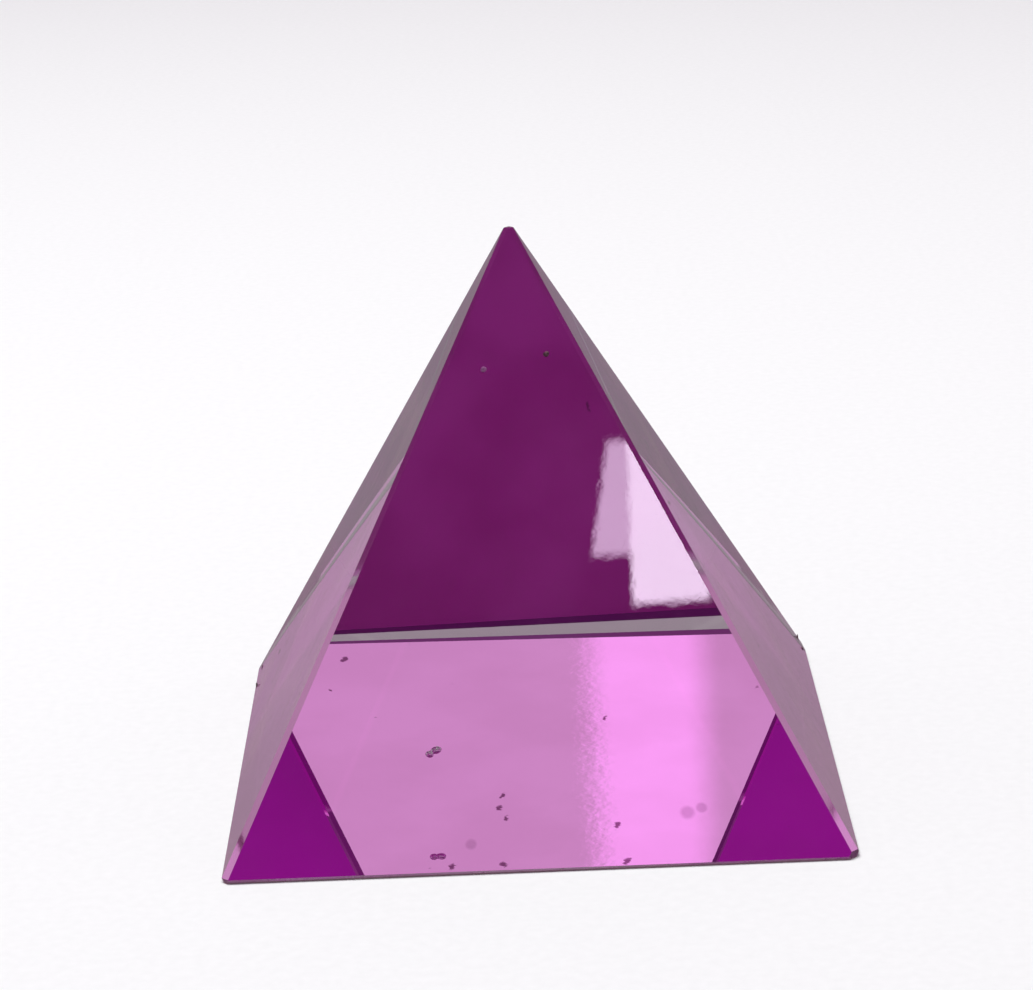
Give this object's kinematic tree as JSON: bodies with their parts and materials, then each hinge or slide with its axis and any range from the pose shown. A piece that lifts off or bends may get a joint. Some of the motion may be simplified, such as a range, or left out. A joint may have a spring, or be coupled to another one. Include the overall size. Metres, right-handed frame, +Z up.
{
  "type": "glass pyramid paperweight",
  "caption": "Solid clear glass pyramid with bevelled edges and a purple colour coat bonded under its square base.",
  "frame": {"origin": "centre of the resting face, on the surface the pyramid stands on", "axes": "+Z up through the tip, front face towards -Y, base edges along X and Y"},
  "size_m": [0.0596, 0.0597, 0.055],
  "materials": {
    "clear_glass": "ground and polished, clear",
    "purple_coat": "purple lacquer, glossy through the glass"
  },
  "bodies": {
    "root": {"glass_pyramid": "clear_glass", "base_colour_coat": "purple_coat"}
  },
  "joints": []
}
